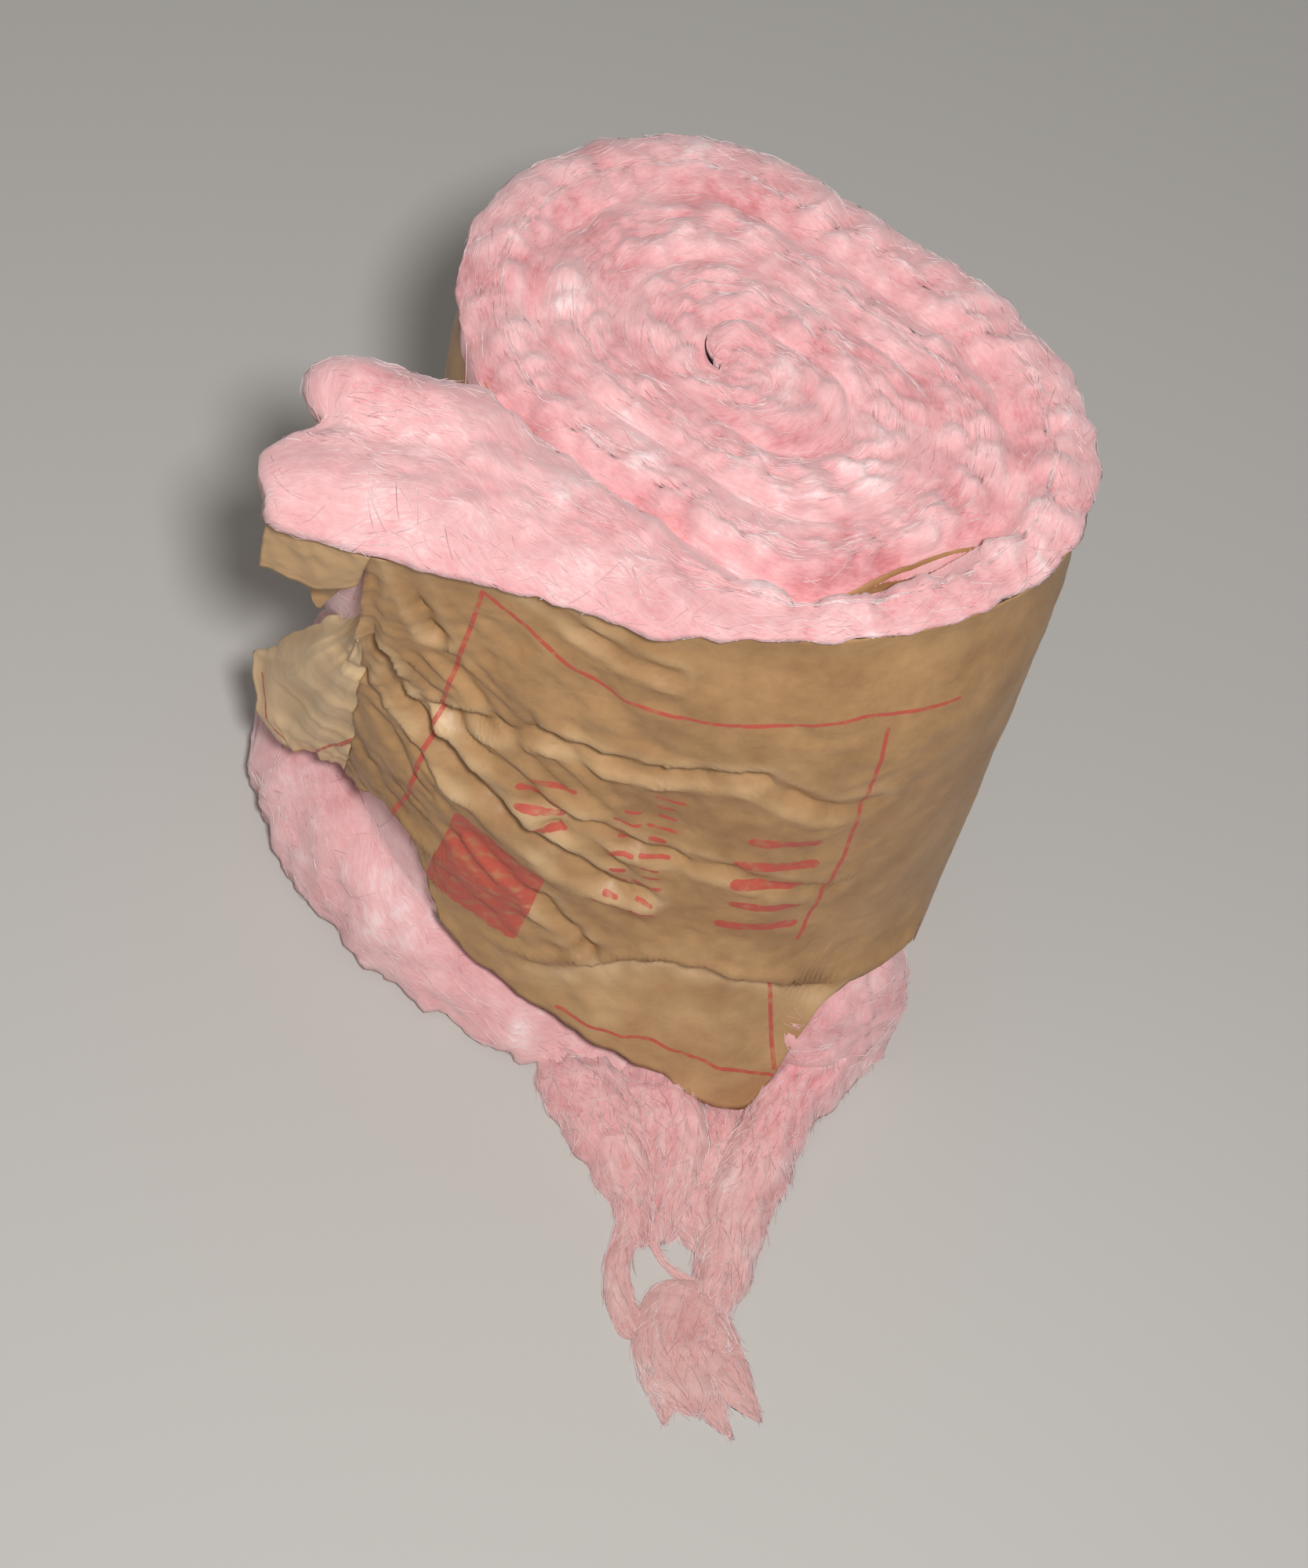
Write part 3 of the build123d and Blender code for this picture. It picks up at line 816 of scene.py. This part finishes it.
under_fold = 0.008 - 0.014 * np.clip(below / 0.011, 0, 1) + (flare + 0.006) * drop_share**1.2
puff = puff + fold_share * np.where(below < 0, 0.008 * np.exp(below / 0.012), under_fold)
# Painted highlight in a band just below the fold.
fold_highlight = 0.8 * np.exp(-(((below - 0.016) / 0.010) ** 2)) + 0.25 * np.clip(below / 0.01, 0, 1)
painted_highlight = painted_highlight * wrinkled + fold_share * fold_highlight
painted_highlight = np.clip(painted_highlight * (0.8 + 0.7 * sheet_noise(0.02, 0.02, 0, 57)), 0, 1)
level = sheet_rise / height
ahead = facing_point(sheet_along + 0.001, level) - facing_point(sheet_along - 0.001, level)
away = np.stack([-ahead[..., 1], ahead[..., 0]], -1)
away /= np.linalg.norm(away, axis=-1, keepdims=True)
before_torn = slice(0, count_coil + count_free)
sheet_lean = np.interp(sheet_along, past_leaving[before_torn], lean[before_torn])
puff = np.maximum(puff, -0.003) - 0.9 * leaning(sheet_lean, sheet_rise)
back_share = np.clip((-0.15 - sheet_along) / 0.05, 0, 1) * np.clip((sheet_rise - 0.33) / 0.03, 0, 1)
puff = puff * (1 - back_share) - 0.0012 * back_share
plan = facing_point(sheet_along, level) + away * puff[..., None]
paper = np.dstack([plan, np.maximum(sheet_rise, paper_thickness)])


def patch_of(first, second, rows, columns):
    """Grid of points between two lines given in millimetres: rows along the lines, columns from the first to
    the second. Gives the grid in metres, and the shares along the rows and the columns."""
    share = np.linspace(0, 1, rows)
    lines = []
    for line in (np.array(first, float), np.array(second, float)):
        way = np.concatenate([[0], np.cumsum(np.linalg.norm(np.diff(line, axis=0), axis=1))])
        lines.append(np.stack([np.interp(share, way / way[-1], line[:, axis]) for axis in range(3)], 1))
    down, over = np.meshgrid(share, np.linspace(0, 1, columns), indexing="ij")
    return (lines[0][:, None] + (lines[1] - lines[0])[:, None] * over[..., None]) / 1000, down, over


# The sheet's torn left side folds out as a flap over the wool that spreads at the foot.
left_side = paper[-1][::-1] * 1000
fold_points = left_side[(left_side[:, 2] > 88) & (left_side[:, 2] < 292)]
flap_edge = [
    (-146, -101, 285), (-158, -94, 252), (-174, -84, 222), (-191, -70, 182), (-206, -55, 146),
    (-201, -66, 110), (-187, -68, 90),
]
flap, flap_drop, flap_share = patch_of(fold_points, flap_edge, 70, 60)
flap_way = np.array([-0.40, -0.90, 0.10])
flap_swell = 0.008 * np.sin(math.pi * flap_share) * np.sin(math.pi * np.clip(flap_drop * 1.1, 0, 1))
flap_fold = 1 - np.abs(noise_at(flap_share * 3.2 - flap_drop * 1.6, flap_drop * 1.3, 0, 65, 2))
flap_ragged = layered_noise(flap / 0.017, 67, 2)
folded = 0.0085 * (flap_fold - 0.7) * np.sin(math.pi * np.clip(flap_share * 0.85 + 0.08, 0, 1))
flap = flap + flap_way * (flap_swell + folded)[..., None]
ragged_columns = 0.0022 * flap_ragged[:, -12:] * np.linspace(0, 1, 12)[None]
flap[:, -12:] += ragged_columns[..., None] * np.array([-1, 0.4, 0])
flap[-10:, :, 2] += 0.0030 * flap_ragged[-10:] * np.linspace(0, 1, 10)[:, None]

# The sheet's top corner runs on as a short tab below the torn end's front lobe, and a scrap hangs from it.
tab, tab_drop, tab_share = patch_of(
    [(-143, -145, 371), (-145, -144, 358), (-147, -142, 344)],
    [(-191, -137, 369), (-192, -138, 352), (-192, -139, 335)], 22, 34,
)
tab_swell = 0.002 * np.sin(math.pi * tab_share) + 0.0014 * layered_noise(tab / 0.012, 68, 2)
tab = tab - np.array([-0.1, 0.9, 0]) * tab_swell[..., None]
tab[..., 2] -= 0.006 * np.sin(math.pi * np.clip(tab_share * 1.3, 0, 1)) * tab_drop
scrap, _, scrap_share = patch_of(
    [(-186, -118, 333), (-177, -122, 318), (-167, -121, 290)],
    [(-150, -128, 345), (-155, -126, 320), (-166, -120, 289)], 24, 22,
)
scrap = scrap + np.array([-0.3, -0.9, 0.1]) * (0.0022 * layered_noise(scrap / 0.014, 66, 2))[..., None]

# The sheet's edge also stands between the inner turns, just below the cut edge of the wool.
strip_phase = np.linspace(1.2, 6.08, 620)
strip_along = np.linalg.norm(np.diff(seam(strip_phase), axis=0), axis=1).cumsum()
strip_along = np.concatenate([[0], strip_along])
strip_gap = slack_bump(strip_phase)
strip_top = height - valley(strip_phase) - 0.0050 + 0.0012 * noise_at(strip_along / 0.014, 0, 0, 69)
strip_top = strip_top + 0.0035 * strip_gap
strip_foot = 0.333
strip_rise = strip_foot + (strip_top[:, None] - strip_foot) * np.linspace(0, 1, 9)[None]
strip_way = seam(strip_phase) - seam(strip_phase - 2)
strip_way /= np.linalg.norm(strip_way, axis=1, keepdims=True)
strip_shift = strip_gap[:, None] * (0.0016 - slack_width * gap_depth(strip_rise))
strip = np.dstack([seam(strip_phase)[:, None] + strip_way[:, None] * strip_shift[..., None], strip_rise])


def grid_faces(rows, columns):
    """Quads of a plain grid of rows and columns."""
    first = np.arange(rows - 1)[:, None] * columns + np.arange(columns - 1)[None]
    return np.stack([first, first + columns, first + columns + 1, first + 1], -1).reshape(-1, 4)


# Each piece of the sheet: name, points, place along the printed layout, and the strength of its painted
# highlight.
sheet_pieces = [
    ("paper_sheet", paper, sheet_along, sheet_rise, painted_highlight),
    # The flap, which faces the light, takes a strong painted highlight all over; the tab and the scrap take
    # an even one.
    ("paper_flap", flap, 0.60 + flap_share * 0.07, flap[..., 2], np.clip(0.45 + 1.2 * flap_fold, 0.7, 1.5)),
    ("paper_tab", tab, 0.80 + tab_share * 0.05, tab[..., 2], 0.5 + 0 * tab_share),
    ("paper_scrap", scrap, 0.90 + scrap_share * 0.03, scrap[..., 2], 0.1 + 0 * scrap_share),
    ("paper_inner_edge", strip, 2 + strip_along[:, None] + 0 * strip_rise, strip_rise, 0 * strip_rise),
]
facings = []
for name, points, layout_along, layout_rise, highlight_strength in sheet_pieces:
    layout = np.dstack([layout_along, layout_rise])
    facing = skin_object(name, points, grid_faces(*points.shape[:2]), (), layout, [("painted_highlight", highlight_strength)])
    thicken = facing.modifiers.new("paper thickness", "SOLIDIFY")
    thicken.thickness = paper_thickness
    thicken.offset = 1
    facings.append(facing)
    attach(facing, "root")
    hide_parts("kraft_facing")

# Waxed kraft paper: warm brown with faint fibre mottling, and a worn print in red: a frame of ruled lines,
# a solid block and columns of plain bars.
kraft_paper, tree, shader = new_finish("brown_kraft", [("Roughness", 0.46), ("Specular IOR Level", 0.4)])


def rule_group():
    """Node group: 1 within a half width of the line from a start to an end on the layout, else 0."""
    group = bpy.data.node_groups.new("ruled_line", "ShaderNodeTree")
    for socket_name in ("Point", "Start", "End"):
        group.interface.new_socket(socket_name, in_out="INPUT", socket_type="NodeSocketVector")
    group.interface.new_socket("Half width", in_out="INPUT", socket_type="NodeSocketFloat")
    group.interface.new_socket("Mask", in_out="OUTPUT", socket_type="NodeSocketFloat")
    given, result = group.nodes.new("NodeGroupInput"), group.nodes.new("NodeGroupOutput")
    point, start, end, half_width = (given.outputs[k] for k in range(4))

    def vectors(operation, first, second):
        inputs = [(0, first), (3 if operation == "SCALE" else 1, second)]
        return add_node(group, "VectorMath", inputs, operation=operation).outputs

    reach = vectors("SUBTRACT", end, start)[0]
    offset = vectors("SUBTRACT", point, start)[0]
    along, whole = (vectors("DOT_PRODUCT", vector, reach)["Value"] for vector in (offset, reach))
    shares = [(0, along), (1, whole)]
    share = add_node(group, "Math", shares, operation="DIVIDE", use_clamp=True).outputs[0]
    gap = vectors("DISTANCE", offset, vectors("SCALE", reach, share)[0])["Value"]
    mask = add_node(group, "Math", [(0, gap), (1, half_width)], operation="LESS_THAN").outputs[0]
    group.links.new(mask, result.inputs["Mask"])
    return group


spread = add_node(tree, "UVMap", uv_map="layout").outputs["UV"]
wobble = add_node(tree, "TexNoise", [("Vector", spread), ("Scale", 60)]).outputs["Color"]
shift = [(0, wobble), (1, (0.0008, 0.0008, 0)), (2, spread)]
print_place = add_node(tree, "VectorMath", shift, operation="MULTIPLY_ADD").outputs["Vector"]
# The print in millimetres on the layout: lines of the frame, then columns of bars, then the block.
frame_lines = [
    [(129, 364), (129, 172), (135, 126)],
    [(129, 364), (84, 334), (61, 324), (16, 322), (-48, 330), (-98, 326)],
    [(53, 54), (2, 50), (-54, 28), (-72, 20)],
    [(-46, 106), (-56, 32)],
    [(-62, 320), (-60, 220), (-52, 142)],
    [(664, 138), (659, 108), (652, 84)],
    [(600, 164), (617, 124), (634, 94)],
]
strokes = [(start, end, 1.1) for line in frame_lines for start, end in zip(line[:-1], line[1:])]
bar_columns = [
    (68, 90, 202, 256, 11, 1.7),
    (20, 33, 150, 256, 8, 1.1),
    (37, 49, 150, 240, 8, 1.0),
    (-46, -12, 148, 244, 19, 3.2),
]
for left, right, low, high, pitch, half_width in bar_columns:
    for step in range(int((high - low) / pitch)):
        bar_rise = low + pitch * (step + 0.5)
        bar_start, bar_end = (left + (step % 3) * 2, bar_rise), (right - (step * 2 % 3) * 2, bar_rise + 1)
        strokes.append((bar_start, bar_end, half_width))
block_corners = np.array([(108, 180), (70, 156), (74, 95), (112, 106)])
block_strokes = 7
for step in range(block_strokes):
    part = (step + 0.5) / block_strokes
    start = block_corners[0] * (1 - part) + block_corners[1] * part
    end = block_corners[3] * (1 - part) + block_corners[2] * part
    strokes.append((start.tolist(), end.tolist(), 3.6))
ruled_line = rule_group()
ink = 0.0
for start, end, half_width in strokes:
    line = add_node(tree, "Group", node_tree=ruled_line)
    tree.links.new(print_place, line.inputs["Point"])
    line.inputs["Start"].default_value = (start[0] / 1000, start[1] / 1000, 0)
    line.inputs["End"].default_value = (end[0] / 1000, end[1] / 1000, 0)
    line.inputs["Half width"].default_value = half_width / 1000
    ink = add_node(tree, "Math", [(0, ink), (1, line.outputs["Mask"])], operation="MAXIMUM").outputs[0]
wear = add_node(tree, "TexNoise", [("Vector", spread), ("Scale", 190), ("Detail", 4)]).outputs["Fac"]
worn = add_node(tree, "MapRange", [
    ("Value", wear), ("From Min", 0.32), ("From Max", 0.5), ("To Min", 0.35), ("To Max", 0.9)
]).outputs["Result"]
inked = add_node(tree, "Math", [(0, ink), (1, worn)], operation="MULTIPLY").outputs[0]
place = add_node(tree, "TexCoord").outputs["Object"]
mottle = add_node(tree, "TexNoise", [("Vector", place), ("Scale", 30), ("Detail", 6), ("Roughness", 0.65)])
# Painted highlight: the mask blends the brown towards pale tan on crease ridges, on the flap and in the band
# below the fold.
highlight_mask = add_node(tree, "Attribute", attribute_name="painted_highlight").outputs["Fac"]
paper_colour = ramp(tree, mottle.outputs["Fac"], [(0.3, (0.32, 0.168, 0.070)), (0.72, (0.50, 0.290, 0.130))])
paper_colour = blend(tree, weighed_sum(tree, [(highlight_mask, 0.7)]), paper_colour, (0.70, 0.49, 0.28, 1))
paper_colour = blend(tree, inked, paper_colour, (0.50, 0.075, 0.055, 1))
tree.links.new(paper_colour, shader.inputs["Base Color"])
grain = add_node(tree, "TexNoise", [("Vector", place), ("Scale", 420), ("Detail", 3)]).outputs["Fac"]
wrinkle = add_node(tree, "TexNoise", [("Vector", place), ("Scale", 75), ("Detail", 2), ("Distortion", 0.8)])
tree.links.new(bumped(tree, [(wrinkle.outputs["Fac"], 0.7), (grain, 0.12)]), shader.inputs["Normal"])
for facing in facings:
    facing.data.materials.append(kraft_paper)

# The torn wool: a flat tail pulled out of the foot of the roll over the floor, in loose hanks that part round
# two hollows, join again and thin out to wisps. Each hank: middle and half width in millimetres, then height.
hanks = [
    [(-12, -150, 20, 13), (12, -177, 22, 20), (32, -203, 19, 17), (46, -228, 14, 11), (56, -252, 9, 5)],
    [(26, -146, 20, 14), (50, -168, 21, 22), (61, -190, 17, 18), (62, -214, 14, 12), (64, -248, 11, 4)],
    [(66, -142, 24, 6), (70, -170, 24, 6), (76, -203, 22, 5), (80, -225, 17, 5), (86, -248, 10, 4)],
    [
        (142, -84, 22, 58), (126, -122, 22, 44), (110, -163, 18, 26), (102, -197, 18, 18), (99, -227, 17, 14),
        (97, -257, 15, 11), (94, -288, 13, 7),
    ],
    [(56, -242, 3, 2), (68, -258, 2, 2), (86, -266, 3, 2)],
    [(50, -230, 10, 6), (46, -254, 7, 5), (48, -278, 7, 5), (62, -302, 9, 4)],
    [(90, -264, 16, 7), (86, -284, 25, 9), (86, -302, 25, 9), (95, -322, 18, 5), (102, -334, 8, 2)],
    [(72, -288, 14, 8), (75, -306, 13, 6), (82, -327, 8, 3), (85, -343, 2, 1)],
    [(95, -286, 14, 8), (104, -302, 15, 6), (118, -317, 9, 3), (131, -329, 2, 1)],
    [(88, -296, 12, 7), (99, -314, 12, 4), (108, -330, 7, 2), (119, -342, 2, 1)],
]
hank_stations, hank_ring = 90, 44
hank_turn = np.linspace(0, 2 * math.pi, hank_ring, endpoint=False)[None]
draw = np.random.default_rng(77)
tail_points, tail_faces, tail_caps, tail_layouts, tail_hollow_shade, tail_batches = [], [], [], [], [], []
for number, hank in enumerate(hanks):
    hank = np.array(hank) / 1000
    way = np.concatenate([[0], np.cumsum(np.linalg.norm(np.diff(hank[:, :2], axis=0), axis=1))])
    spots = np.linspace(0, way[-1], hank_stations)
    # A smooth cubic curve through the hank's middles, which carries its half width and height along.
    slope = np.gradient(hank, way, axis=0)
    whole = np.clip(np.searchsorted(way, spots, "right") - 1, 0, len(way) - 2)
    span = (way[whole + 1] - way[whole])[:, None]
    part = (spots - way[whole])[:, None] / span
    line = (2 * part**3 - 3 * part**2 + 1) * hank[whole] + (3 * part**2 - 2 * part**3) * hank[whole + 1]
    line = line + (part**3 - 2 * part**2 + part) * slope[whole] * span
    line = line + (part**3 - part**2) * slope[whole + 1] * span
    ahead = np.gradient(line[:, :2], axis=0)
    ahead /= np.linalg.norm(ahead, axis=1, keepdims=True)
    aside = np.stack([ahead[:, 1], -ahead[:, 0]], 1)
    half_width, crown = np.cos(hank_turn) * line[:, 2:3], np.sin(hank_turn)
    hank_relief = noise_at(spots[:, None] / 0.018, half_width / 0.006, crown + number * 3.7, 71, 4, 0.6)
    ragged = 1 + 0.17 * noise_at(spots[:, None] / 0.022, np.sign(np.cos(hank_turn)), number, 74, 2)
    closing = np.sqrt(np.clip(1 - (2 * spots / way[-1] - 1) ** 8, 0.0004, 1))[:, None]
    side = half_width * ragged * closing
    hank_rise = np.maximum(crown, 0) ** 1.15 * line[:, 3:4] * closing
    hank_rise = hank_rise * (1 + 0.16 * hank_relief) + 0.0012 * hank_relief * (crown > 0)
    points = np.dstack([line[:, None, :2] + aside[:, None] * side[..., None], np.maximum(hank_rise, 0)])
    first = number * hank_stations * hank_ring
    tail_points.append(points.reshape(-1, 3))
    tail_faces.append(loop_faces(hank_stations, hank_ring) + first)
    tail_caps += end_loops(hank_stations, hank_ring, first)
    layout = np.dstack([spots[:, None] + 0 * hank_turn, half_width + number * 0.1])
    tail_layouts.append(layout.reshape(-1, 2))
    # Painted shade: this mask darkens the hank where its relief is low.
    tail_hollow_shade.append(np.clip(0.45 - 0.5 * hank_relief, 0, 1).ravel())
    count = int(1.9e5 * way[-1] * line[:, 2].mean())
    starts = np.stack([draw.uniform(2, hank_stations - 4, count), draw.uniform(0, hank_ring / 2, count)], 1)
    lengths = draw.uniform(0.006, 0.024, count) / (way[-1] / hank_stations)
    spans = np.stack([lengths, draw.normal(0, 3, count)], 1)
    middle_lift, end_lift = draw.uniform(0.0001, 0.0012, count), draw.uniform(-0.0012, 0.0040, count)
    lifts = np.stack([np.full(count, -0.0004), middle_lift, end_lift], 1)
    tail_batches.append(lay_fibres(points, starts, spans, lifts, draw.uniform(0.00010, 0.00024, count)))
torn_tail = skin_object(
    "torn_tail", np.concatenate(tail_points), np.concatenate(tail_faces), tail_caps,
    np.concatenate(tail_layouts), [("hollow_shade", np.concatenate(tail_hollow_shade))],
)

# The tuft: a clump of torn wool that swells out under the facing's raised edge, beside the tail. It is one
# lumpy tube of closed loops that rounds over at the top, with loose strands like the tail's.
tuft_rows, tuft_ring = 46, 72
tuft_turn = np.linspace(0, -2 * math.pi, tuft_ring, endpoint=False)[None, :]
tuft_share = np.linspace(0.0, 1.0, tuft_rows)[:, None]
tuft_height, tuft_depth, tuft_width = 0.102, 0.029, 0.042
right_centre = seam(7.0) + (seam(7.0 + arc_share) - seam(7.0)) / 2
tuft_angle = math.radians(314.5)
tuft_way = np.array([math.cos(tuft_angle), math.sin(tuft_angle)])
tuft_side = np.array([-tuft_way[1], tuft_way[0]])
tuft_middle = right_centre + tuft_way * (turn_radius(7) - 0.004)
swell = np.sqrt(np.clip(1 - tuft_share**2.4, 0, 1)) * (1 + 0.12 * np.sin(tuft_share * math.pi))
tuft_plan = tuft_middle + tuft_way * (tuft_depth * swell * np.cos(tuft_turn))[..., None]
tuft_plan = tuft_plan + tuft_side * (tuft_width * swell * np.sin(tuft_turn))[..., None]
tuft = np.dstack([tuft_plan, tuft_height * tuft_share + 0 * tuft_turn])
tuft_relief = 0.0045 * (np.abs(layered_noise(tuft / 0.024, 81, 2)) - 0.2)
tuft_relief = tuft_relief + 0.0008 * layered_noise(tuft / 0.006, 84, 2)
tuft_relief = tuft_relief * np.clip((1 - tuft_share) * 6, 0, 1) * np.abs(np.cos(tuft_turn)) ** 0.4
tuft = tuft + outward_normals(tuft) * tuft_relief[..., None]
tuft[..., 2] = np.maximum(tuft[..., 2], 0)
# The tuft's mask is painted shade, laid over it in patches of noise.
torn_tuft = skin_object(
    "torn_tuft", tuft, loop_faces(tuft_rows, tuft_ring), end_loops(tuft_rows, tuft_ring),
    np.dstack([0.09 * tuft_share + 0 * tuft_turn, 0.04 * tuft_turn + 0 * tuft_share]),
    [("hollow_shade", np.clip(0.4 - 0.5 * layered_noise(tuft / 0.015, 81, 3), 0, 1))],
)
count = 260
starts = np.stack([draw.uniform(2, tuft_rows - 6, count), draw.uniform(0, tuft_ring, count)], 1)
spans = np.stack([draw.normal(0, 5, count), draw.normal(0, 6, count)], 1)
middle_lift, end_lift = draw.uniform(0.0003, 0.0014, count), draw.uniform(-0.0008, 0.0015, count)
lifts = np.stack([np.full(count, -0.0004), middle_lift, end_lift], 1)
tail_batches.append(lay_fibres(tuft, starts, spans, lifts, draw.uniform(0.00010, 0.00024, count)))
for torn_piece in (torn_tail, torn_tuft):
    torn_piece.data.materials.append(wool_fleece)
    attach(torn_piece, "root")
    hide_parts("torn_wool")
tail_strands = strand_object("tail_strands", tail_batches, pale_strand)
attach(tail_strands, "root")
